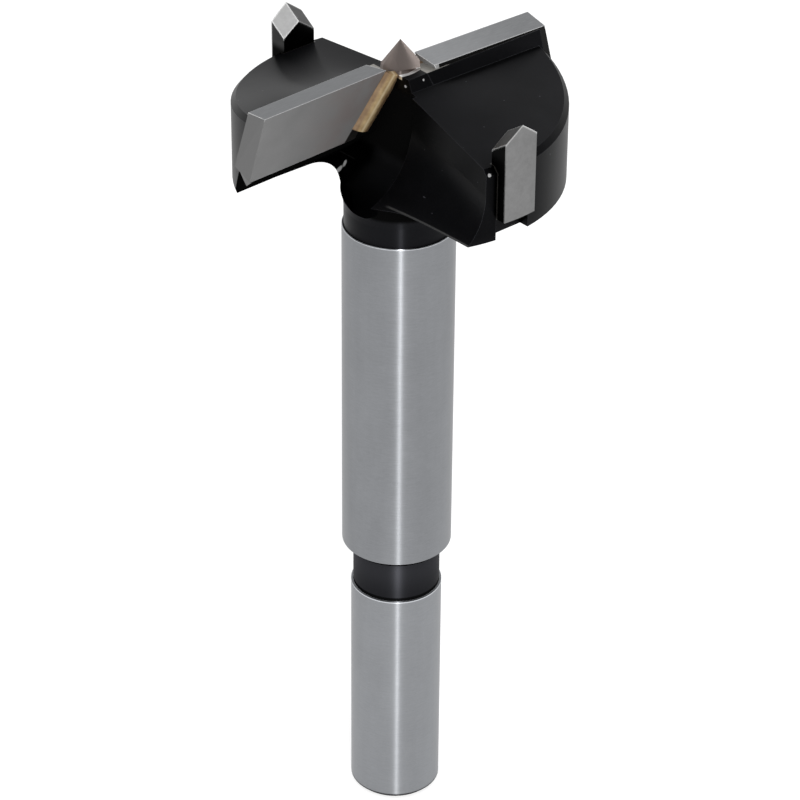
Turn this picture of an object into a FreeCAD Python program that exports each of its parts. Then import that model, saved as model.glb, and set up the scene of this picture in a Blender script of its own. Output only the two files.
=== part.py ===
"""A 35 mm hinge boring bit for wood, as a parametric FreeCAD document.

Millimetres. The shank stands on the XY plane with its axis along +Z, and the tip of the centre
point is the highest point. +X runs along the cutting edge of the first cutter. Everything on the
head repeats after half a turn about Z, and the bit cuts turning anticlockwise seen from the tip.
"""
import FreeCAD, Part
import math
import os
import Sketcher

# Driving dimensions: each is written once here and lives in the sheet under its name.
DIMENSIONS = {
    "shank_dia": 9.6,
    "shank_length": 26.2,
    "shank_end_chamfer": 0.4,
    "groove_dia": 9.15,
    "groove_length": 5.0,
    "collar_dia": 11.5,
    "collar_length": 38.2,
    "collar_end_chamfer": 0.5,
    "collar_top_chamfer": 0.1,
    "neck_dia": 11.1,
    "neck_length": 5.6,
    "neck_fillet": 3.5,
    "cutting_dia": 35.0,
    "rim_clearance": 1.0,
    "plate_inset": 0.1,
    "core_height": 11.3,
    "point_height": 3.2,
    "point_flat_angle": 8.0,
    "point_end_angle": 38.5,
    "point_width": 3.8,
    "point_turn": 68.4,
    "point_sink": 0.6,
    "lobe_height": 10.6,
    "lobe_fall_angle": 10.3,
    "lobe_side_angle": 0.78,
    "rim_chamfer": 0.5,
    "edge_height": 12.16,
    "edge_lead": 0.62,
    "edge_dip_angle": 1.2,
    "rake_angle": 20.5,
    "plate_thickness": 2.45,
    "plate_height": 8.7,
    "plate_clearance_angle": 8.6,
    "plate_end_reach": 2.34,
    "plate_end_angle": 18.1,
    "plate_side_relief": 5.0,
    "plate_side_taper": 3.4,
    "braze_gap": 0.12,
    "braze_pool": 1.29,
    "bead_radius": 1.7,
    "bead_sink": 1.1,
    "bead_length": 7.2,
    "bead_rise": 0.25,
    "relief_drop": 3.8,
    "relief_run": 4.57,
    "web_thickness": 2.08,
    "web_angle": 7.9,
    "across_depth": 2.93,
    "across_radius": 3.5,
    "across_offset": 0.1,
    "across_heel_drop": 2.0,
    "across_heel_run": 2.3,
    "across_end_radius": 6.0,
    "along_radius": 8.0,
    "along_height": 5.0,
    "along_rise_angle": 10.2,
    "along_start": 1.8,
    "spur_width": 3.9,
    "spur_thickness": 2.07,
    "spur_bottom": 2.2,
    "spur_peak": 12.08,
    "spur_gable_angle": 35.0,
    "spur_inward_angle": 33.9,
}

# How far a cutting tool's shape runs past the steel, so that it always cuts clean through.
CLEAR = 4.0

doc = FreeCAD.newDocument("BoringBit")
sheet = doc.addObject("Spreadsheet::Sheet", "Sizes")
for row, (alias, number) in enumerate(DIMENSIONS.items(), start=1):
    sheet.set("A%d" % row, alias)
    sheet.set("B%d" % row, str(number))
    sheet.setAlias("B%d" % row, alias)
doc.recompute()


class Size:
    """A length or an angle, known both as a number and as an expression on the sheet."""

    def __init__(self, value, text):
        self.value = value
        self.text = text

    def join(self, other, sign, value):
        return Size(value, "(%s %s %s)" % (self.text, sign, other.text))

    def __add__(self, other):
        other = size(other)
        return self.join(other, "+", self.value + other.value)

    def __sub__(self, other):
        other = size(other)
        return self.join(other, "-", self.value - other.value)

    def __mul__(self, other):
        other = size(other)
        return self.join(other, "*", self.value * other.value)

    def __truediv__(self, other):
        other = size(other)
        return self.join(other, "/", self.value / other.value)

    def __neg__(self):
        return Size(-self.value, "(-1 * %s)" % self.text)

    def __radd__(self, other):
        return size(other) + self

    def __rsub__(self, other):
        return size(other) - self

    def __rmul__(self, other):
        return size(other) * self

    def __rtruediv__(self, other):
        return size(other) / self


def size(what):
    """A sheet alias, a plain number or a Size, as a Size."""
    if isinstance(what, Size):
        return what
    if isinstance(what, str):
        return Size(float(sheet.get(what)), "Sizes." + what)
    return Size(float(what), "%.6g" % what)


def sin(angle):
    return Size(math.sin(math.radians(angle.value)), "sin(%s)" % angle.text)


def cos(angle):
    return Size(math.cos(math.radians(angle.value)), "cos(%s)" % angle.text)


def root(amount):
    return Size(math.sqrt(amount.value), "sqrt(%s)" % amount.text)


def tan(angle):
    return Size(math.tan(math.radians(angle.value)), "tan(%s)" % angle.text)


def bind(thing, prop, amount):
    """Tie one property of an object to a Size."""
    thing.setExpression(prop, size(amount).text)


def turned(half_turn):
    """The place of the first or the second of two pieces, half a turn apart about Z."""
    return FreeCAD.Placement(FreeCAD.Vector(0, 0, 0), FreeCAD.Rotation(180.0 * half_turn, 0, 0))


def new_body(label):
    body = doc.addObject("PartDesign::Body", label)
    body.Label = label
    return body


def origin_plane(body, role):
    return next(part for part in body.Origin.OriginFeatures if part.Role == role)


def profile(body, name, role, points, radii=None, offset=None):
    """A closed outline on an origin plane of the body, moved off it by the offset.

    Each point is a pair of Sizes in the sketch's own axes. radii maps the number of a side to the
    radius of the arc that replaces the straight line, positive where the arc bulges to the left
    of the way from its first point to its second.
    """
    radii = {side: size(radius) for side, radius in (radii or {}).items()}
    sketch = body.newObject("Sketcher::SketchObject", name)
    sketch.AttachmentSupport = [(origin_plane(body, role), "")]
    sketch.MapMode = "FlatFace"
    if offset is not None:
        bind(sketch, "AttachmentOffset.Base.z", offset)
    points = [(size(across), size(up)) for across, up in points]
    spots = [FreeCAD.Vector(across.value, up.value, 0) for across, up in points]
    ends = []
    for side, start in enumerate(spots):
        end = spots[(side + 1) % len(spots)]
        if side in radii:
            sketch.addGeometry(arc_between(start, end, radii[side].value))
            ends.append((2, 1) if radii[side].value > 0 else (1, 2))
        else:
            sketch.addGeometry(Part.LineSegment(start, end))
            ends.append((1, 2))
    for side in range(len(spots)):
        following = (side + 1) % len(spots)
        sketch.addConstraint(Sketcher.Constraint(
            "Coincident", side, ends[side][1], following, ends[following][0]))
    for side, (across, up) in enumerate(points):
        hold(sketch, Sketcher.Constraint("DistanceX", -1, 1, side, ends[side][0], across.value), across)
        hold(sketch, Sketcher.Constraint("DistanceY", -1, 1, side, ends[side][0], up.value), up)
    for side, radius in radii.items():
        length = radius if radius.value > 0 else -radius
        hold(sketch, Sketcher.Constraint("Radius", side, length.value), length)
    return sketch


def arc_between(start, end, radius):
    """The lesser arc of a signed radius from one point of a sketch to another."""
    chord = end - start
    left = FreeCAD.Vector(-chord.y, chord.x, 0).normalize()
    reach = abs(radius)
    rise = reach - math.sqrt(max(reach ** 2 - (chord.Length / 2) ** 2, 0.0))
    middle = (start + end) * 0.5 + left * math.copysign(rise, radius)
    return Part.Arc(start, middle, end)


def hold(sketch, constraint, amount):
    """Add a dimension to a sketch and tie it to a Size."""
    number = sketch.addConstraint(constraint)
    sketch.setExpression("Constraints[%d]" % number, amount.text)


def grow(body, kind, sketch, length, both_ways=False, reverse=False, lean=None):
    """Pad or pocket a sketch. lean is a direction that need not be square to the sketch."""
    feature = body.newObject("PartDesign::" + kind, kind + "_" + sketch.Name)
    feature.Profile = sketch
    bind(feature, "Length", length)
    feature.Midplane = both_ways
    feature.Reversed = reverse
    if lean:
        feature.UseCustomVector = True
        feature.AlongSketchNormal = True
        for axis, part in zip("xyz", lean):
            bind(feature, "Direction." + axis, part)
        feature.Direction = FreeCAD.Vector(*[size(part).value for part in lean])
    sketch.Visibility = False
    return feature


def boolean(kind, name, base, tool):
    result = doc.addObject("Part::" + kind, name)
    result.Base = base
    result.Tool = tool
    return result


def joined(name, shapes):
    result = doc.addObject("Part::MultiFuse", name)
    result.Shapes = shapes
    return result


# Heights and places that several pieces share.
groove_bottom = size("shank_length")
groove_top = groove_bottom + "groove_length"
collar_top = groove_top + "collar_length"
head_bottom = collar_top + "neck_length"
core_top = head_bottom + "core_height"
spur_radius = size("cutting_dia") / 2
head_radius = spur_radius - "rim_clearance"
past_head = head_radius + CLEAR
past_top = core_top + "point_height" + CLEAR

# The cutting edge and the rake plane below it, seen along X as (y, z). The edge leans back by the
# rake angle, so the way down the rake plane is (-sin, -cos) and the way into the steel is
# (-cos, sin).
rake_sin = sin(size("rake_angle"))
rake_cos = cos(size("rake_angle"))
edge_y = size("edge_lead")
edge_z = head_bottom + "edge_height"


def on_rake(down, behind):
    """The (y, z) place a given way down the rake plane and behind it."""
    down = size(down)
    behind = size(behind)
    return (edge_y - down * rake_sin - behind * rake_cos,
            edge_z - down * rake_cos + behind * rake_sin)


# Every cut along a cutter follows its edge, which dips slightly towards the rim.
edge_lean = (1.0, 0.0, -tan(size("edge_dip_angle")))


def make_turned_blank():
    """The one piece of steel as it leaves the lathe: shank, groove, collar, neck and head."""
    body = new_body("turned_blank")
    shank = size("shank_dia") / 2
    groove = size("groove_dia") / 2
    collar = size("collar_dia") / 2
    neck = size("neck_dia") / 2
    points = [
        (0, 0),
        (shank - "shank_end_chamfer", 0),
        (shank, "shank_end_chamfer"),
        (shank, groove_bottom),
        (groove, groove_bottom),
        (groove, groove_top),
        (collar - "collar_end_chamfer", groove_top),
        (collar, groove_top + "collar_end_chamfer"),
        (collar, collar_top - "collar_top_chamfer"),
        (collar - "collar_top_chamfer", collar_top),
        (neck, collar_top),
        (neck, head_bottom - "neck_fillet"),
        (neck + "neck_fillet", head_bottom),
        (head_radius, head_bottom),
        (head_radius, core_top),
        (0, core_top),
    ]
    sketch = profile(body, "blank_profile", "XZ_Plane", points, {11: "neck_fillet"})
    turn = body.newObject("PartDesign::Revolution", "blank_turned")
    turn.Profile = sketch
    turn.ReferenceAxis = (sketch, ["V_Axis"])
    turn.Angle = 360.0
    return body


def make_lobe_top(half_turn):
    """What is milled off above one lobe, back to the plane that carries on behind the plate."""
    body = new_body("lobe_top_%d" % (half_turn + 1))
    fall = tan(size("lobe_fall_angle"))
    lobe_z = head_bottom + "lobe_height"
    behind = size("plate_thickness") + "braze_gap"
    step_y = edge_y - behind / rake_cos
    slope = tan(size("rake_angle"))
    corner_y = (step_y - (edge_z - lobe_z) * slope) / (1 - fall * slope)
    points = [
        (-past_head, lobe_z - past_head * fall),
        (corner_y, lobe_z + corner_y * fall),
        (step_y + (past_top - edge_z) * slope, past_top),
        (-past_head, past_top),
    ]
    sketch = profile(body, "lobe_top_profile_%d" % (half_turn + 1), "YZ_Plane", points)
    grow(body, "Pad", sketch, past_head * 2, both_ways=True,
         lean=(1.0, 0.0, -tan(size("lobe_side_angle"))))
    body.Placement = turned(half_turn)
    return body


def make_across_pass(half_turn):
    """The milling pass along the cutting edge: rake plane, relief under it and round floor."""
    body = new_body("across_pass_%d" % (half_turn + 1))
    foot_y, foot_z = on_rake("plate_height", 0)
    relief_y = foot_y - "relief_run"
    relief_z = foot_z - "relief_drop"
    floor_z = head_bottom - "across_depth"
    side_y = size("across_offset") + "across_radius"
    points = [
        (edge_y + (past_top - edge_z) * tan(size("rake_angle")), past_top),
        (foot_y, foot_z),
        (relief_y, relief_z),
        (relief_y + "across_heel_run", relief_z - "across_heel_drop"),
        ("across_offset", floor_z),
        (side_y, floor_z + "across_radius"),
        (side_y, past_top),
    ]
    sketch = profile(body, "across_profile_%d" % (half_turn + 1), "YZ_Plane", points,
                     {4: -size("across_radius")})
    grow(body, "Pad", sketch, past_head, lean=edge_lean)

    reach = new_body("across_reach_%d" % (half_turn + 1))
    wall_x = size("web_thickness") / 2 / cos(size("web_angle"))
    radius = size("across_end_radius")
    end = wall_x + radius
    end_z = floor_z - end * tan(size("edge_dip_angle"))
    points = [
        (wall_x, past_top + CLEAR),
        (wall_x, end_z + radius),
        (end, end_z),
        (end, end_z - CLEAR),
        (past_head + CLEAR, end_z - CLEAR),
        (past_head + CLEAR, past_top + CLEAR),
    ]
    sketch = profile(reach, "across_reach_profile_%d" % (half_turn + 1), "XZ_Plane", points,
                     {1: -radius})
    grow(reach, "Pad", sketch, past_head * 2, both_ways=True)
    both = boolean("Common", "across_cut_%d" % (half_turn + 1), body, reach)
    both.Placement = turned(half_turn)
    return both


def make_along_pass(half_turn):
    """The pass along the next lobe's heel, with a large fillet at its foot."""
    body = new_body("along_pass_%d" % (half_turn + 1))
    radius = size("along_radius")
    wall = size("web_thickness") / 2
    begin = size("along_start")
    rise = tan(size("along_rise_angle"))
    tangent_z = head_bottom + "along_height" + (head_radius - begin) * rise
    far = wall + radius + head_radius * 2
    points = [
        (wall, past_top + CLEAR),
        (wall, tangent_z),
        (wall + radius, tangent_z - radius),
        (far, tangent_z - radius),
        (far, past_top + CLEAR),
    ]
    sketch = profile(body, "along_profile_%d" % (half_turn + 1), "XZ_Plane", points,
                     {1: -radius}, offset=-begin)
    grow(body, "Pad", sketch, past_head, lean=(0.0, 1.0, -rise))
    body.Placement = FreeCAD.Placement(FreeCAD.Vector(0, 0, 0), FreeCAD.Rotation(
        180.0 * half_turn - size("web_angle").value, 0, 0))
    return body


def prism(label, role, points, length, offset=None, both_ways=False, reverse=False, lean=None):
    """A body made by padding one outline."""
    body = new_body(label)
    sketch = profile(body, label + "_profile", role, points, offset=offset)
    grow(body, "Pad", sketch, length, both_ways, reverse, lean)
    return body


def plate_end_x(height, inset):
    """The x of the plate's sloping inner end at a height, or of a line inboard of it."""
    return (size("plate_end_reach") - inset
            + (edge_z - height) * tan(size("plate_end_angle")))


def make_plate(half_turn):
    """A carbide cutting plate: raked face, ground clearance on top, relieved outer end."""
    number = half_turn + 1
    thickness = size("plate_thickness")
    facet = tan(size("rake_angle") + "plate_clearance_angle")
    section = [
        on_rake(0, 0),
        on_rake("plate_height", 0),
        on_rake("plate_height", thickness),
        on_rake(thickness * facet, thickness),
    ]
    body = prism("cutter_%d" % number, "YZ_Plane", section, past_head, lean=edge_lean)
    low = head_bottom
    inner = profile(body, "plate_inner_end_%d" % number, "XZ_Plane", [
        (plate_end_x(past_top, 0), past_top),
        (plate_end_x(low, 0), low),
        (-past_head, low),
        (-past_head, past_top),
    ])
    grow(body, "Pocket", inner, past_head * 2, both_ways=True)
    corner_x = spur_radius - "plate_inset"
    taper = tan(size("plate_side_taper"))
    outer = profile(body, "plate_outer_end_%d" % number, "XZ_Plane", [
        (corner_x + (past_top - edge_z) * taper, past_top),
        (corner_x - (edge_z - low) * taper, low),
        (past_head + CLEAR, low),
        (past_head + CLEAR, past_top),
    ])
    grow(body, "Pocket", outer, past_head * 2, both_ways=True)
    relief = tan(size("plate_side_relief"))
    side = profile(body, "plate_side_%d" % number, "XY_Plane", [
        (corner_x + CLEAR * relief, edge_y + CLEAR),
        (corner_x - head_radius * relief, edge_y - head_radius),
        (past_head + CLEAR, edge_y - head_radius),
        (past_head + CLEAR, edge_y + CLEAR),
    ])
    grow(body, "Pocket", side, past_top * 2, both_ways=True)
    body.Placement = turned(half_turn)
    return body


def make_seat(half_turn):
    """The milled seat of a plate, larger than it by the braze behind, below and inboard."""
    number = half_turn + 1
    gap = size("braze_gap")
    depth = size("plate_thickness") + gap
    bottom = size("plate_height") + gap
    section = [
        on_rake(-CLEAR * 2, 0),
        on_rake(bottom, 0),
        on_rake(bottom, depth),
        on_rake(-CLEAR * 2, depth),
    ]
    body = prism("seat_%d" % number, "YZ_Plane", section, past_head, lean=edge_lean)
    pool = size("braze_pool")
    inner = profile(body, "seat_inner_end_%d" % number, "XZ_Plane", [
        (plate_end_x(past_top + CLEAR, pool), past_top + CLEAR),
        (plate_end_x(head_bottom, pool), head_bottom),
        (-past_head, head_bottom),
        (-past_head, past_top + CLEAR),
    ])
    grow(body, "Pocket", inner, past_head * 2, both_ways=True)
    body.Placement = turned(half_turn)
    return body


def make_bead(half_turn, across_pass):
    """The rounded bead of braze that lies in the corner inboard of a plate, up to the core's top."""
    bead = doc.addObject("Part::Cylinder", "bead_%d" % (half_turn + 1))
    radius = size("bead_radius")
    sink = size("bead_sink")
    half = root(radius * radius - sink * sink)
    bind(bead, "Radius", radius)
    bind(bead, "Height", "bead_length")
    top_z = core_top + "bead_rise"
    along = (edge_z - top_z) / rake_cos + size("bead_length") * cos(size("plate_end_angle"))
    y, z = on_rake(along, sink)
    x = plate_end_x(edge_z - along * rake_cos, half)
    lean = FreeCAD.Rotation(FreeCAD.Vector(1, 0, 0), -size("rake_angle").value)
    tilt = FreeCAD.Rotation(FreeCAD.Vector(0, 1, 0), -size("plate_end_angle").value)
    place = FreeCAD.Placement(FreeCAD.Vector(x.value, y.value, z.value), lean.multiply(tilt))
    bead.Placement = turned(half_turn).multiply(place)
    return boolean("Common", "bead_in_corner_%d" % (half_turn + 1), bead, across_pass)


spur_floor = spur_radius - "spur_thickness"
spur_foot = head_bottom + "spur_bottom"


def make_spur(half_turn):
    """A carbide spur: a block with a curved outer face, ground to a gable that falls inward."""
    number = half_turn + 1
    half = size("spur_width") / 2
    shoulder = root(spur_radius * spur_radius - half * half)
    body = new_body("spur_%d" % number)
    outline = profile(body, "spur_outline_%d" % number, "XY_Plane", [
        (-half, -spur_floor),
        (-half, -shoulder),
        (half, -shoulder),
        (half, -spur_floor),
    ], {1: -spur_radius}, offset=spur_foot)
    grow(body, "Pad", outline, past_top - spur_foot)
    fall = tan(size("spur_inward_angle"))
    gable = tan(size("spur_gable_angle"))
    ridge = head_bottom + "spur_peak" - spur_radius * fall
    wide = size("spur_width")
    above = profile(body, "spur_gable_%d" % number, "XZ_Plane", [
        (0, ridge),
        (wide, ridge - wide * gable),
        (wide, past_top),
        (-wide, past_top),
        (-wide, ridge - wide * gable),
    ])
    grow(body, "Pocket", above, past_head * 2, both_ways=True, lean=(0.0, -1.0, fall))
    body.Placement = turned(half_turn)
    return body


def make_slot(label, half_turn, foot, top):
    """The slot of a spur in the rim, wider and deeper than the spur by the braze round it."""
    half = size("spur_width") / 2 + "braze_gap"
    floor = spur_floor - "braze_gap"
    body = prism("%s_%d" % (label, half_turn + 1), "XY_Plane", [
        (-half, -floor),
        (-half, -past_head),
        (half, -past_head),
        (half, -floor),
    ], top - foot, offset=foot)
    body.Placement = turned(half_turn)
    return body


def make_point():
    """The centre point: a flat blade with two broad faces and two steep ends."""
    tip = core_top + "point_height"
    base = core_top - "point_sink"
    half_flat = (tip - base) * tan(size("point_flat_angle"))
    half_end = size("point_width") / 2
    shoulder = tip - half_end / tan(size("point_end_angle"))
    flats = prism("point_flats", "XZ_Plane", [
        (0, tip),
        (-half_flat, base),
        (half_flat, base),
    ], size("point_width") * 2, both_ways=True)
    ends = prism("point_ends", "YZ_Plane", [
        (0, tip),
        (-half_end, shoulder),
        (-half_end, base),
        (half_end, base),
        (half_end, shoulder),
    ], size("point_width") * 2, both_ways=True)
    point = boolean("Common", "point", flats, ends)
    bind(point, "Placement.Rotation.Angle", "point_turn")
    return point


def lobe_rims(shape):
    """The numbers of the edges where the lobes' tops meet the rim."""
    radius = head_radius.value
    found = []
    for number, edge in enumerate(shape.Edges, start=1):
        spots = edge.discretize(5)
        on_rim = all(abs(math.hypot(spot.x, spot.y) - radius) < 1e-4 for spot in spots)
        heights = [spot.z for spot in spots]
        turns = math.hypot(spots[0].x - spots[2].x, spots[0].y - spots[2].y) > 1.0
        slopes = max(heights) - min(heights) > 0.1
        if on_rim and turns and slopes:
            found.append(number)
    return found


def copies(make):
    return [make(half_turn) for half_turn in (0, 1)]


blank = make_turned_blank()
topped = boolean("Cut", "topped_blank", blank, joined("lobe_tops", copies(make_lobe_top)))
doc.recompute()

chamfered = doc.addObject("Part::Chamfer", "chamfered_blank")
chamfered.Base = topped
rim_chamfer = size("rim_chamfer").value
chamfered.Edges = [(number, rim_chamfer, rim_chamfer) for number in lobe_rims(topped.Shape)]

across_passes = copies(make_across_pass)
gullets = joined("gullets", across_passes + copies(make_along_pass))
milled = boolean("Cut", "milled_head", chamfered, gullets)

plates = copies(make_plate)
seats = copies(make_seat)
spurs = copies(make_spur)
slots = [make_slot("slot", half_turn, head_bottom - CLEAR, past_top) for half_turn in (0, 1)]
pockets = joined("pockets", seats + slots)
slotted = boolean("Cut", "slotted_head", milled, pockets)
steel = joined("bit_body", [slotted, make_point()])
steel.Refine = True
doc.recompute()

nodes = [steel] + plates + spurs
for half_turn, seat in enumerate(seats):
    number = half_turn + 1
    pool = boolean("Common", "plate_pool_%d" % number, seat, milled)
    poured = joined("plate_poured_%d" % number, [pool, make_bead(half_turn, across_passes[half_turn])])
    solids = joined("plate_and_steel_%d" % number, [plates[half_turn], steel])
    nodes.append(boolean("Cut", "cutter_braze_%d" % number, poured, solids))
    bed = make_slot("spur_bed", half_turn, spur_foot, past_top)
    film = boolean("Common", "spur_pool_%d" % number, bed, milled)
    nodes.append(boolean("Cut", "spur_braze_%d" % number, film, spurs[half_turn]))
doc.recompute()

for thing in doc.Objects:
    if "Invalid" in thing.State or "Error" in thing.State:
        raise RuntimeError("%s failed: %s" % (thing.Label, thing.State))

os.makedirs("parts", exist_ok=True)
for node in nodes:
    shape = node.Shape
    if shape.isNull() or not shape.isValid() or not shape.Solids:
        raise RuntimeError("%s has no valid solid" % node.Label)
    print("%-16s solids %d volume %9.3f" % (node.Label, len(shape.Solids), shape.Volume))
    shape.exportStep("parts/%s.step" % node.Label)
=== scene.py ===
"""Materials, light and camera for a carbide-tipped hinge boring bit. Metres, in the CAD frame."""
import math

import bpy
from mathutils import Matrix, Vector

MM = 0.001

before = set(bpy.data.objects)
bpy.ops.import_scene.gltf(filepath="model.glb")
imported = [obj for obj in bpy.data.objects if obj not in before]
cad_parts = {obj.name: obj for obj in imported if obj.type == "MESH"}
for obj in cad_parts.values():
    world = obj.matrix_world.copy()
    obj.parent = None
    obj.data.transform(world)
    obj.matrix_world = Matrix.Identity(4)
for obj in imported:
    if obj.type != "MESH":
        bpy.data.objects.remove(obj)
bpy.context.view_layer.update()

# Heights along the bit's axis where its finish changes, and how softly it changes.
SHANK_CHAMFER = 0.55 * MM
SHANK_TOP = 26.2 * MM
GROOVE_TOP = 31.2 * MM
COLLAR_TOP = 69.4 * MM
HEAD_BOTTOM = 75.0 * MM
GULLET_TOP = 85.0 * MM
CORE_GROUND = 85.95 * MM
CORE_TOP = 86.3 * MM
SOFT = 0.03 * MM

# Painted highlight rings at the collar's and the shank's upper edges, a painted shade line in the
# groove's foot, and a painted highlight along the foot of the lobes' walls, which starts outside
# the gullets.
COLLAR_GLINT = 0.16 * MM
SHANK_GLINT = 0.13 * MM
GROOVE_LINE = 0.4 * MM
FOOT_HEIGHT = 0.14 * MM
FOOT_START = 4.8 * MM

# The scoops ground beside the centre point: their half width, and how they narrow along x.
SCOOP_HALF = 1.2 * MM
SCOOP_CURVE = 120.0

# The cutting plates, given for the first: its edge, its lean and where its ends lie.
EDGE_Y = 0.62 * MM
EDGE_Z = 87.16 * MM
RAKE = math.radians(20.5)
CLEARANCE = math.radians(8.6)
EDGE_DIP = math.radians(1.2)
PLATE_OUTER_RADIUS = 16.6 * MM
PLATE_OUTER_X = 15.1 * MM
PLATE_INNER_X = 3.05 * MM
PLATE_INNER_FOOT = 85.85 * MM

# The spurs: outer face, half width, and the gable's peak and slopes.
CUTTING_RADIUS = 17.5 * MM
SPUR_FACE = 17.35 * MM
SPUR_HALF = 1.95 * MM
SPUR_PEAK = 87.08 * MM
SPUR_INWARD = math.radians(33.9)
SPUR_GABLE = math.radians(35.0)
SPUR_WALL_FOOT = 83.2 * MM

# The golden bead: its lean along the plate's inner end, its width, its lowest point and its reach.
BEAD_LEAN = 0.326
BEAD_NEAR = 0.9 * MM
BEAD_FAR = 1.85 * MM
CREST_NEAR = 1.2 * MM
CREST_FAR = 1.45 * MM
BEAD_FOOT = 80.45 * MM
BEAD_REACH = 6.75 * MM
CROWN_FOOT = 85.65 * MM
CROWN_REACH = 4.8 * MM

# The rim's corner under each plate's outer end: where it starts and two sloping lines across it.
CORNER_X = 14.5 * MM
CORNER_TOP = 78.1 * MM
GROUND_SLOPE = 0.463
GROUND_LINE = 75.32 * MM
WEDGE_SLOPE = 0.52
WEDGE_LINE = 46.575 * MM

# Small bright nicks on the blackened head: each one's place and radius, in millimetres.
NICKS = (
    ((-2.91, -16.21, 82.23), 0.22),
    ((-1.05, -2.0, 85.48), 0.18),
    ((0.72, -2.61, 85.84), 0.13),
)

# A painted highlight streak where the head meets the neck: its ends and width, in millimetres.
GLINT_ENDS = ((-3.6, 5.6, 73.72), (-1.95, 5.74, 74.5))
GLINT_WIDTH = 0.24

# The photograph's viewpoint, in millimetres, and the directions that go with it, in degrees.
CAMERA_PLACE = (-194.8, -222.5, 233.8)
CAMERA_PITCH = 32.09
CAMERA_HEADING = 41.25
CAMERA_ROLL = 0.47
FOCAL_PIXELS = 3391.2
PICTURE_WIDTH = 800
SENSOR = 36.0

# The strip lamp that draws the highlight down the shank, in metres and watts.
STRIP_PLACE = (-0.44, -0.58, 0.45)
STRIP_TARGET = (0.0, 0.0, 0.05)
STRIP_ACROSS = 0.02
STRIP_UP = 0.8
STRIP_POWER = 5.0

# The floor's size and how far it lies below the bit, in metres, its finish and its own light.
FLOOR_SIZE = 4.0
FLOOR_DROP = 0.05 * MM
FLOOR_ROUGH = 0.9
FLOOR_GLOW = 1.3

# How much dimmer the studio is overhead.
OVERHEAD_DIM = 0.3

# How far the turned steel's shine is drawn out along the axis, and the turn that does it.
TURNED = 0.985
QUARTER_TURN = 0.25

# The depth of the grain and the grinding marks, and of the waves in the bead.
GRAIN_DEPTH = 0.004 * MM
BEAD_WAVES = 0.12 * MM

# The shine at grazing angles of the blackened steel and of the carbide, beside bare metal's.
RIM_SHINE = 0.85
CARBIDE_SHINE = 0.45

# Colours, as red, green, blue and alpha.
BLACK = (0.0, 0.0, 0.0, 1.0)
WHITE = (1.0, 1.0, 1.0, 1.0)
COOL_STEEL = (0.97, 1.0, 1.05, 1.0)
COOL_CARBIDE = (0.98, 1.0, 1.03, 1.0)
BLUED = (0.95, 0.97, 1.1, 1.0)
POINT_STEEL = (0.235, 0.2, 0.185, 1.0)
HEAT_TINT = (0.12, 0.095, 0.088, 1.0)
GOLD = (0.50, 0.37, 0.20, 1.0)
DULL_GOLD = (0.26, 0.17, 0.08, 1.0)
CREST_HIGHLIGHT_GOLD = (0.62, 0.51, 0.33, 1.0)
DARKER_BORDER_GOLD = (0.14, 0.085, 0.045, 1.0)
SOOTY_FILM = (0.012, 0.011, 0.01, 1.0)
SILVERY = (0.25, 0.24, 0.22, 1.0)


def grey(level):
    return (level, level, level, 1.0)


# Greys, from the darkest finish to the brightest, painted shade and painted highlights among them.
SHADE_AND_WEDGE_BLACK = grey(0.002)
BRAZED_SIDE = grey(0.006)
SHADED_END = grey(0.02)
FOOT_GLEAM = grey(0.09)
GROUND_END = grey(0.165)
INNER_END = grey(0.24)
BARE_NICK_AND_GLINT = grey(0.28)
SCOOP_GLINT_GREY = grey(0.8)
EDGE_GLINT_GREY = grey(0.85)
SPUR_GLINT_GREY = grey(0.9)
FLOOR_GREY = grey(0.95)


class Sum:
    """A value in a material's node tree, with arithmetic written as operators."""

    def __init__(self, tree, socket):
        self.tree = tree
        self.socket = socket

    def node(self, kind, inputs=(), output=0, **settings):
        """Another node of the tree. inputs maps socket names or numbers to values."""
        made = self.tree.nodes.new(kind)
        for name, value in settings.items():
            setattr(made, name, value)
        for key, value in dict(inputs).items():
            if isinstance(value, Sum):
                self.tree.links.new(value.socket, made.inputs[key])
            else:
                made.inputs[key].default_value = value
        return Sum(self.tree, made.outputs[output])

    def sibling(self, name):
        """Another output of the same node."""
        return Sum(self.tree, self.socket.node.outputs[name])

    def math(self, operation, *values):
        return self.node("ShaderNodeMath", dict(enumerate((self,) + values)), operation=operation)

    def __add__(self, other):
        return self.math("ADD", other)

    def __sub__(self, other):
        return self.math("SUBTRACT", other)

    def __mul__(self, other):
        return self.math("MULTIPLY", other)

    def __radd__(self, other):
        return self + other

    def __rmul__(self, other):
        return self * other

    def __rsub__(self, other):
        return self * -1.0 + other

    def size(self):
        return self.math("ABSOLUTE")

    def root(self):
        return self.math("SQRT")

    def least(self, other):
        return self.math("MINIMUM", other)

    def most(self, other):
        return self.math("MAXIMUM", other)

    def ramp(self, start, end):
        """0 before start and 1 after end, smooth between them."""
        inputs = {"Value": self, "From Min": start, "From Max": end}
        return self.node("ShaderNodeMapRange", inputs, interpolation_type="SMOOTHSTEP")

    def step(self, edge, soft):
        """0 below an edge and 1 above it, smooth over this much to each side."""
        return self.ramp(edge - soft, edge + soft)

    def between(self, low, high, soft):
        """1 from low to high and 0 outside them."""
        return self.step(low, soft) * (1.0 - self.step(high, soft))

    def mix(self, first, second):
        """A colour mix, with this value as the factor."""
        inputs = {"Factor": self, 6: first, 7: second}
        return self.node("ShaderNodeMix", inputs, output=2, data_type="RGBA")

    def tone(self, colour=WHITE):
        """A colour dimmed to this value."""
        return self.mix(BLACK, colour)

    def blend(self, first, second):
        """A mix of two numbers, with this value as the factor."""
        inputs = {"Factor": self, 2: first, 3: second}
        return self.node("ShaderNodeMix", inputs, data_type="FLOAT")


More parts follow.
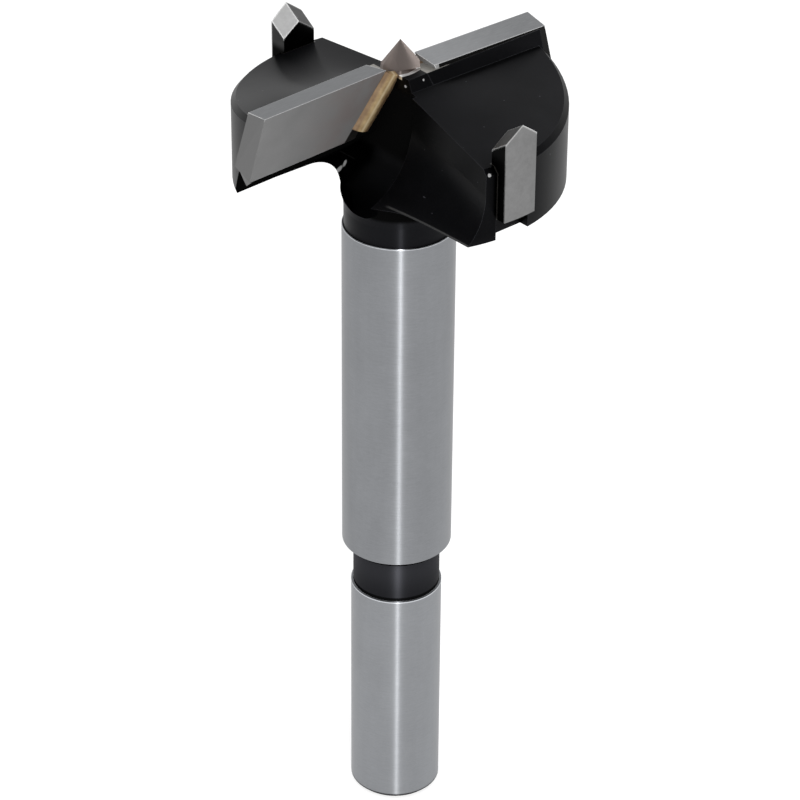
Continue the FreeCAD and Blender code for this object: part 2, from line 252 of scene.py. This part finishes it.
class Finish:
    """A new material with its shader and the object's coordinates as Sums."""

    def __init__(self, name, metallic=1.0):
        self.material = bpy.data.materials.new(name)
        self.material.use_nodes = True
        self.tree = self.material.node_tree
        self.shader = self.tree.nodes["Principled BSDF"]
        self.feed("Metallic", metallic)
        places = self.tree.nodes.new("ShaderNodeTexCoord")
        self.place = Sum(self.tree, places.outputs["Object"])
        self.x = self.place.node("ShaderNodeSeparateXYZ", {0: self.place})
        self.y = self.x.sibling("Y")
        self.z = self.x.sibling("Z")
        self.radius = (self.x * self.x + self.y * self.y).root()

    def feed(self, name, value):
        """A link or a constant for one of the shader's sockets."""
        if isinstance(value, Sum):
            self.tree.links.new(value.socket, self.shader.inputs[name])
        else:
            self.shader.inputs[name].default_value = value

    def paint(self, colour, roughness):
        self.feed("Base Color", colour)
        self.feed("Roughness", roughness)

    def cover(self, factor, kind, inputs):
        """Another shader over the material's own, to this factor."""
        other = self.place.node(kind, inputs)
        both = self.place.node("ShaderNodeMixShader", {0: factor, 2: other})
        self.tree.links.new(self.shader.outputs["BSDF"], both.socket.node.inputs[1])
        self.tree.links.new(both.socket, self.tree.nodes["Material Output"].inputs["Surface"])

    def bump(self, height, distance, strength):
        inputs = {"Height": height, "Distance": distance, "Strength": strength}
        self.feed("Normal", self.place.node("ShaderNodeBump", inputs))

    def noise(self, scale, detail=3.0, roughness=0.5, stretch=(1.0, 1.0, 1.0)):
        """Noise in cycles per metre. stretch squeezes the pattern along each axis."""
        place = self.place.node("ShaderNodeMapping", {"Vector": self.place, "Scale": stretch})
        inputs = {"Vector": place, "Scale": scale, "Detail": detail, "Roughness": roughness}
        return self.place.node("ShaderNodeTexNoise", inputs)

    def edges(self, width):
        """1 along the object's edges, to about this width, and 0 on its faces."""
        soft = self.place.node("ShaderNodeBevel", {"Radius": width}, samples=6)
        plain = self.place.node("ShaderNodeNewGeometry", output=1)
        inputs = {0: soft, 1: plain}
        along = self.place.node("ShaderNodeVectorMath", inputs, output=1, operation="DOT_PRODUCT")
        return (1.0 - along).ramp(0.01, 0.12)

    def facing_up(self):
        """How far a face looks up: 1 for a level one, 0 for a wall, less than 0 beneath."""
        plain = self.place.node("ShaderNodeNewGeometry", output=1)
        return self.place.node("ShaderNodeSeparateXYZ", {0: plain}, output=2)

    def away(self, first, second):
        """The distance between two places."""
        inputs = {0: first, 1: second}
        return self.place.node("ShaderNodeVectorMath", inputs, output=1, operation="DISTANCE")

    def spot(self, place, radius):
        """1 within this radius of a place, in metres, and 0 away from it."""
        return 1.0 - self.away(self.place, place).ramp(radius * 0.7, radius)

    def streak(self, start, end, width):
        """1 along a straight line between two places, in metres, and 0 away from it."""
        way = end - start
        inputs = {0: self.place, 1: start}
        from_start = self.place.node("ShaderNodeVectorMath", inputs, operation="SUBTRACT")
        inputs = {0: from_start, 1: way.normalized()}
        along = self.place.node("ShaderNodeVectorMath", inputs, output=1, operation="DOT_PRODUCT")
        inputs = {0: way.normalized(), "Scale": along.most(0.0).least(way.length)}
        nearest = self.place.node("ShaderNodeVectorMath", inputs, operation="SCALE")
        return 1.0 - self.away(from_start, nearest).ramp(width * 0.5, width)


def ground_steel(finish, collar, turning, grain):
    """The shank's and the collar's ground steel: polish marks, painted highlight rings and painted
    shade on the end.
    """
    polish = finish.noise(220.0, 4.0, 0.6, (1.0, 1.0, 0.12))
    patches = finish.noise(150.0, 5.0, 0.65)
    # Painted highlights: bright rings along the collar's and the shank's upper edges.
    collar_glint = finish.z.between(COLLAR_TOP - COLLAR_GLINT, COLLAR_TOP, SOFT)
    shank_glint = finish.z.between(SHANK_TOP - SHANK_GLINT, SHANK_TOP + SOFT, SOFT)
    # Painted shade: the end chamfer is darkened where the shank stands on the floor.
    end = 1.0 - finish.z.step(SHANK_CHAMFER, 0.07 * MM)
    level = turning * 0.06 + polish * 0.08 + patches * 0.05 + grain * 0.03 + 0.165
    level = level - collar * 0.035 + collar_glint.most(shank_glint) * 0.35 - end * 0.22
    return level.tone(COOL_STEEL)


def blackening(finish, groove, cloud, grain, up):
    """The black oxide: lighter on the lobes' upward faces as painted light, painted shade in the
    groove and lighter edges from wear and painted highlights.
    """
    # Wear and a painted highlight: lighter along the edges.
    wear_and_glint = finish.edges(0.10 * MM) * (grain * 0.04 + 0.006)
    # Painted light: faces looking up are lighter.
    lit_tops = up.ramp(0.9, 0.97) * (cloud * 0.008 + 0.002)
    # Painted shade: the groove is darker towards its foot and lighter up its side.
    rise = finish.z.ramp(SHANK_TOP + GROOVE_LINE, GROOVE_TOP - 1.0 * MM)
    groove_shading = groove * (rise * 0.022 + 0.017)
    head = finish.z.step(HEAD_BOTTOM, 1.0 * MM)
    neck = (1.0 - head) * 0.006
    specks = finish.noise(2600.0, 0.0).ramp(0.86, 0.88) * head * 0.06
    level = cloud * 0.006 + grain * 0.003 + 0.001 + lit_tops + wear_and_glint + groove_shading + neck + specks
    return level.tone(BLUED)


def centre_point(finish):
    """Where the centre point is bare steel, and a painted highlight along the edge of its scoops.
    """
    reach = SCOOP_HALF - finish.x * finish.x * SCOOP_CURVE - finish.y.size()
    scoop = reach.step(0.0, 0.05 * MM)
    above = finish.z.ramp(CORE_TOP + SOFT, CORE_TOP + 2.0 * SOFT)
    core = finish.z.step(CORE_GROUND, SOFT) * scoop.most(above)
    # Painted highlight: a bright line along the scoops' edge.
    scoop_glint = reach.between(-0.42 * MM, 0.05 * MM, SOFT)
    scoop_glint = scoop_glint * (finish.radius - SCOOP_HALF).ramp(0.0, SOFT)
    scoop_glint = scoop_glint * finish.z.between(CORE_GROUND, CORE_TOP + SOFT, SOFT)
    return core, scoop_glint


def nicks_and_glint(finish):
    """A painted highlight streak by the neck, and the nicks in the blackening."""
    start, end = (Vector(place) * MM for place in GLINT_ENDS)
    marks = finish.streak(start, end, GLINT_WIDTH * MM)
    for place, radius in NICKS:
        marks = marks.most(finish.spot(Vector(place) * MM, radius * MM))
    return marks


def foot_highlight(finish, up):
    """A faint painted highlight along the foot of the lobes' walls, outside the gullets."""
    foot = finish.z.between(HEAD_BOTTOM + 0.02 * MM, HEAD_BOTTOM + FOOT_HEIGHT, SOFT)
    return foot * up.ramp(0.3, 0.5) * finish.y.size().step(FOOT_START, 0.4 * MM)


def rim_corner(finish):
    """Under each plate's outer end: the rim ground with the plate, and a black wedge by it."""
    out = finish.y.size()
    corner = finish.x.size().step(CORNER_X, 0.1 * MM)
    corner = corner * (1.0 - finish.z.step(CORNER_TOP, 0.2 * MM))
    over_line = (finish.z - out * GROUND_SLOPE).step(GROUND_LINE, 0.05 * MM)
    within = 1.0 - (out + finish.z * WEDGE_SLOPE).step(WEDGE_LINE, 0.075 * MM)
    return corner * over_line, corner * within * (1.0 - over_line)


def painted_shade_and_wedge(finish, up, wedge):
    """Where a matt black is laid over the steel: painted shade on undersides, in the gullets and
    in the groove's foot, and the rim's black wedges.
    """
    # Painted shade: faces looking down.
    beneath = (up * -1.0).ramp(0.15, 0.3)
    # Painted shade: deep in the gullets.
    gullet = (1.0 - finish.radius.ramp(5.0 * MM, 11.0 * MM)) * (1.0 - up.ramp(0.05, 0.25))
    gullet = gullet * finish.z.ramp(HEAD_BOTTOM + 1.0 * MM, HEAD_BOTTOM + 2.0 * MM)
    gullet = gullet * (1.0 - finish.z.ramp(GULLET_TOP - 0.5 * MM, GULLET_TOP))
    # Painted shade: a dark line in the groove's foot.
    groove_line = finish.z.between(SHANK_TOP + 0.02 * MM, SHANK_TOP + GROOVE_LINE, SOFT)
    return beneath.most(wedge).most(gullet * 0.95).most(groove_line * 0.9)


def blackened_body():
    """Ground shanks, a blackened head, neck and groove, and bare steel on the centre point."""
    finish = Finish("blackened and ground tool steel")
    up = finish.facing_up()
    cloud = finish.noise(180.0, 4.0)
    turning = finish.noise(900.0, 2.0, 0.6, (1.0, 1.0, 14.0))
    grain = finish.noise(5200.0, 3.0, 0.6)
    waves = finish.noise(650.0, 2.0)
    collar = finish.z.between(GROOVE_TOP, COLLAR_TOP - 0.05 * MM, SOFT)
    ground = (1.0 - finish.z.step(SHANK_TOP, SOFT)).most(collar)
    groove = finish.z.between(SHANK_TOP, GROOVE_TOP, SOFT)
    core, scoop_glint = centre_point(finish)
    marks = nicks_and_glint(finish)
    under_plate, wedge = rim_corner(finish)

    bright = ground_steel(finish, collar, turning, grain)
    dark = blackening(finish, groove, cloud, grain, up)
    colour = core.mix(ground.mix(dark, bright), POINT_STEEL)
    # Painted highlight along the scoops' edge.
    colour = scoop_glint.mix(colour, SCOOP_GLINT_GREY)
    # Painted highlight along the foot of the lobes' walls.
    colour = (foot_highlight(finish, up) * 0.8).mix(colour, FOOT_GLEAM)
    # The nicks, bare and bright, and the painted highlight streak by the neck.
    colour = marks.mix(colour, BARE_NICK_AND_GLINT)
    colour = under_plate.mix(colour, GROUND_END)
    rough_dark = cloud * 0.08 + groove * 0.2 + 0.33
    rough_ground = turning * 0.03 + 0.285
    finish.paint(colour, core.blend(ground.blend(rough_dark, rough_ground), 0.4))
    finish.feed("Metallic", 1.0 - marks)
    finish.feed("Specular Tint", grey(RIM_SHINE))
    finish.feed("Anisotropic", TURNED)
    finish.feed("Anisotropic Rotation", QUARTER_TURN)
    height = ground.blend(grain * 0.7, turning * 0.3 + waves * 1.2)
    finish.bump(height, GRAIN_DEPTH, 0.6)
    # A matt black over the steel: painted shade, and the rim's black wedges.
    finish.cover(painted_shade_and_wedge(finish, up, wedge), "ShaderNodeBsdfDiffuse", {"Color": SHADE_AND_WEDGE_BLACK})
    return finish.material


def turn_sign(number):
    """The second of two pieces is the first turned by half a turn, so its x and y change sign."""
    return 1.0 if number == 1 else -1.0


def ahead_of_rake(y, lift):
    """How far a place lies ahead of the rake plane."""
    return (y - EDGE_Y) * math.cos(RAKE) - lift * math.sin(RAKE)


def plate_carbide(number):
    """Ground rake face, top and outer end with painted highlights along the edges; the brazed
    sides are black.
    """
    finish = Finish("cutting plate carbide %d" % number)
    x = finish.x * turn_sign(number)
    y = finish.y * turn_sign(number)
    lift = finish.z - EDGE_Z + x * math.tan(EDGE_DIP)
    ahead = ahead_of_rake(y, lift)
    above = lift - (y - EDGE_Y) * math.tan(CLEARANCE)
    rake = ahead.step(-0.03 * MM, 0.01 * MM)
    top = above.step(-0.03 * MM, 0.01 * MM)
    end = finish.radius.step(PLATE_OUTER_RADIUS, 0.1 * MM) * x.step(PLATE_OUTER_X, 0.1 * MM)
    inner = 1.0 - x.step(PLATE_INNER_X, 0.05 * MM)
    inner = inner * finish.z.step(PLATE_INNER_FOOT, 0.15 * MM)
    scratch = finish.noise(900.0, 4.0, 0.6, (1.0, 14.0, 14.0))
    grain = finish.noise(3000.0, 4.0, 0.6)
    cloud = finish.noise(260.0, 3.0)

    # The brazing heat tinted the inner half of the rake face.
    tint = (1.0 - x.ramp(3.0 * MM, 14.0 * MM)) * cloud.ramp(0.3, 0.7)
    face = (tint * 0.7).mix((cloud * 0.06 + 0.12).tone(), HEAT_TINT)

    # Painted light on the first plate only: a painted highlight brightens its facet towards the
    # inner end, and painted shade darkens its outer end.
    facet_shine = 0.07 if number == 1 else 0.0
    outer = SHADED_END if number == 1 else GROUND_END
    brighter = (1.0 - x.ramp(4.0 * MM, 16.0 * MM)) * facet_shine
    facet = (scratch * 0.16 + 0.2 + brighter).tone(COOL_CARBIDE)
    side = (inner * 0.9).mix(BRAZED_SIDE, INNER_END)
    # Painted highlight along the edges.
    edge_glint = finish.edges(0.14 * MM) * above.ramp(-0.4 * MM, -0.2 * MM)
    edge_glint = edge_glint * ahead.ramp(-0.5 * MM, -0.3 * MM).blend(0.8, 0.3)
    colour = edge_glint.mix(top.mix(rake.mix(end.mix(side, outer), face), facet), EDGE_GLINT_GREY)
    finish.paint(colour, grain * 0.12 + rake.blend(0.3, 0.5))
    finish.feed("Metallic", rake.most(inner * (1.0 - top)).blend(1.0, 0.2))
    finish.feed("Specular Tint", grey(CARBIDE_SHINE))
    finish.bump(scratch + grain * 0.5, GRAIN_DEPTH, 0.7)
    return finish.material


def spur_carbide(number):
    """Ground outer face and gable with painted highlights along the edges; one gable slope and the
    wall on its side are painted lighter, as lit, and the other walls are black.
    """
    finish = Finish("spur carbide %d" % number)
    x = finish.x * turn_sign(number)
    ahead = x.step(0.0, 0.02 * MM)
    face = finish.radius.ramp(SPUR_FACE, SPUR_FACE + 0.05 * MM)
    grain = finish.noise(3000.0, 4.0, 0.6)
    cloud = finish.noise(700.0, 3.0)
    ridge = (finish.y.size() - CUTTING_RADIUS) * math.tan(SPUR_INWARD) + SPUR_PEAK
    gable = finish.z - ridge + finish.x.size() * math.tan(SPUR_GABLE)
    top = gable.step(-0.03 * MM, 0.01 * MM)
    wall = x.step(SPUR_HALF - 0.02 * MM, 0.01 * MM) * finish.z.step(SPUR_WALL_FOOT, 0.5 * MM)
    light = (grain * 0.07 + cloud * 0.05 + 0.14).tone()
    # Painted light: the gable's slope on one side is lighter, as lit.
    facet = (grain * 0.1 + cloud * 0.05 + ahead * 0.27 + 0.08).tone()
    # Painted light: the wall on that side is lighter than the black others.
    side = (wall * (cloud * 0.03 + 0.02) + 0.006).tone()
    # Painted highlight along the gable's edges.
    edge_glint = finish.edges(0.3 * MM) * top.blend(0.35, ahead * 0.6 + 0.4)
    edge_glint = edge_glint * gable.ramp(-0.3 * MM, -0.15 * MM)
    colour = edge_glint.mix(top.mix(face.mix(side, light), facet), SPUR_GLINT_GREY)
    finish.paint(colour, grain * 0.12 + 0.3)
    finish.feed("Specular Tint", grey(CARBIDE_SHINE))
    finish.bump(grain, GRAIN_DEPTH, 0.6)
    return finish.material


def braze(number):
    """A golden fillet before each plate's inner end, with a painted highlight along its middle and
    darker borders, and sooty dark film in the joints.
    """
    finish = Finish("golden braze %d" % number, 0.4)
    lift = finish.z - EDGE_Z
    ahead = ahead_of_rake(finish.y * turn_sign(number), lift)
    across = finish.x * turn_sign(number) + lift * BEAD_LEAN
    stain = finish.noise(700.0, 4.0, 0.6)
    wave = finish.noise(420.0, 2.0)
    gold = stain.ramp(0.35, 0.7).mix(GOLD, DULL_GOLD)
    # Painted highlight: paler gold along the middle of the bead.
    crest_highlight = across.between(CREST_NEAR, CREST_FAR, 0.12 * MM)
    gold = (crest_highlight * 0.8).mix(gold, CREST_HIGHLIGHT_GOLD)
    # Darker brown along the bead's borders.
    border = 1.0 - across.between(BEAD_NEAR, BEAD_FAR, 0.2 * MM)
    bead = (border * (stain * 0.8 + 0.5)).mix(gold, DARKER_BORDER_GOLD)
    crown = finish.z.step(CROWN_FOOT, 0.15 * MM)
    crown = crown * (1.0 - finish.radius.step(CROWN_REACH, 0.2 * MM))
    film = crown.mix(SOOTY_FILM, SILVERY)
    inner = ahead.ramp(-0.8 * MM, -0.6 * MM) * (1.0 - finish.radius.step(BEAD_REACH, 0.25 * MM))
    inner = inner * finish.z.step(BEAD_FOOT, 0.15 * MM).most(ahead.ramp(0.1 * MM, 0.2 * MM))
    finish.paint(inner.mix(film, bead), stain * 0.25 + 0.22)
    finish.bump(wave, BEAD_WAVES, 0.8)
    return finish.material


def pale_floor():
    """A plain floor that the camera and the metal see as white, with the bit's own soft shadow."""
    bpy.ops.object.select_all(action="DESELECT")
    bpy.ops.mesh.primitive_plane_add(size=FLOOR_SIZE, location=(0.0, 0.0, -FLOOR_DROP))
    floor = bpy.context.object
    floor.name = "floor"
    finish = Finish("pale floor", 0.0)
    finish.paint(FLOOR_GREY, FLOOR_ROUGH)
    camera_ray = finish.place.node("ShaderNodeLightPath", output=0)
    seen = camera_ray.most(camera_ray.sibling("Is Glossy Ray"))
    finish.cover(seen * 0.5, "ShaderNodeEmission", {"Color": WHITE, "Strength": FLOOR_GLOW})
    floor.data.materials.append(finish.material)


def give(node, material):
    """Gives a CAD node one material in all its slots, or in a new one."""
    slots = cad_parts[node].material_slots
    for slot in slots:
        slot.material = material
    if not slots:
        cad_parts[node].data.materials.append(material)


def place_camera():
    """A camera at the photograph's viewpoint, with its angle of view."""
    heading = math.radians(CAMERA_HEADING)
    pitch = math.radians(CAMERA_PITCH)
    roll = math.radians(CAMERA_ROLL)
    level = Vector((math.sin(heading), math.cos(heading), 0.0)) * math.cos(pitch)
    ahead = level - Vector((0.0, 0.0, math.sin(pitch)))
    right = Vector((math.cos(heading), -math.sin(heading), 0.0))
    up = right.cross(ahead)
    tilted_right = right * math.cos(roll) + up * math.sin(roll)
    tilted_up = up * math.cos(roll) - right * math.sin(roll)
    turn = Matrix((tilted_right, tilted_up, -ahead)).transposed().to_4x4()
    data = bpy.data.cameras.new("camera")
    data.sensor_width = SENSOR
    data.lens = FOCAL_PIXELS / PICTURE_WIDTH * SENSOR
    data.clip_start = 0.01
    camera = bpy.data.objects.new("camera", data)
    bpy.context.scene.collection.objects.link(camera)
    camera.matrix_world = Matrix.Translation(Vector(CAMERA_PLACE) * MM) @ turn
    bpy.context.scene.camera = camera


def strip_lamp():
    """A tall narrow lamp near the camera's side, aimed at the shank."""
    data = bpy.data.lights.new("strip", "AREA")
    data.shape = "RECTANGLE"
    data.size = STRIP_ACROSS
    data.size_y = STRIP_UP
    data.energy = STRIP_POWER
    lamp = bpy.data.objects.new("strip", data)
    bpy.context.scene.collection.objects.link(lamp)
    lamp.location = STRIP_PLACE
    aim = Vector(STRIP_TARGET) - Vector(STRIP_PLACE)
    lamp.rotation_euler = aim.to_track_quat("-Z", "Y").to_euler()


def white_surroundings():
    """A plain white studio, a little dimmer overhead for everything but the camera."""
    world = bpy.data.worlds.new("studio")
    bpy.context.scene.world = world
    world.use_nodes = True
    tree = world.node_tree
    background = tree.nodes["Background"]
    way = Sum(tree, tree.nodes.new("ShaderNodeTexCoord").outputs["Generated"])
    up = way.node("ShaderNodeSeparateXYZ", {0: way}, output=2)
    seen = way.node("ShaderNodeLightPath", output=0)
    strength = seen.blend(1.0 - up.ramp(0.4, 0.95) * OVERHEAD_DIM, 1.0)
    tree.links.new(strength.socket, background.inputs["Strength"])
    background.inputs["Color"].default_value = WHITE


def dress():
    """Gives every piece of the bit its material."""
    give("bit_body", blackened_body())
    for number in (1, 2):
        give("cutter_%d" % number, plate_carbide(number))
        give("spur_%d" % number, spur_carbide(number))
        give("cutter_braze_%d" % number, braze(number))
        give("spur_braze_%d" % number, braze(number))


dress()
pale_floor()
white_surroundings()
strip_lamp()
place_camera()
bpy.context.scene.view_settings.view_transform = "Standard"
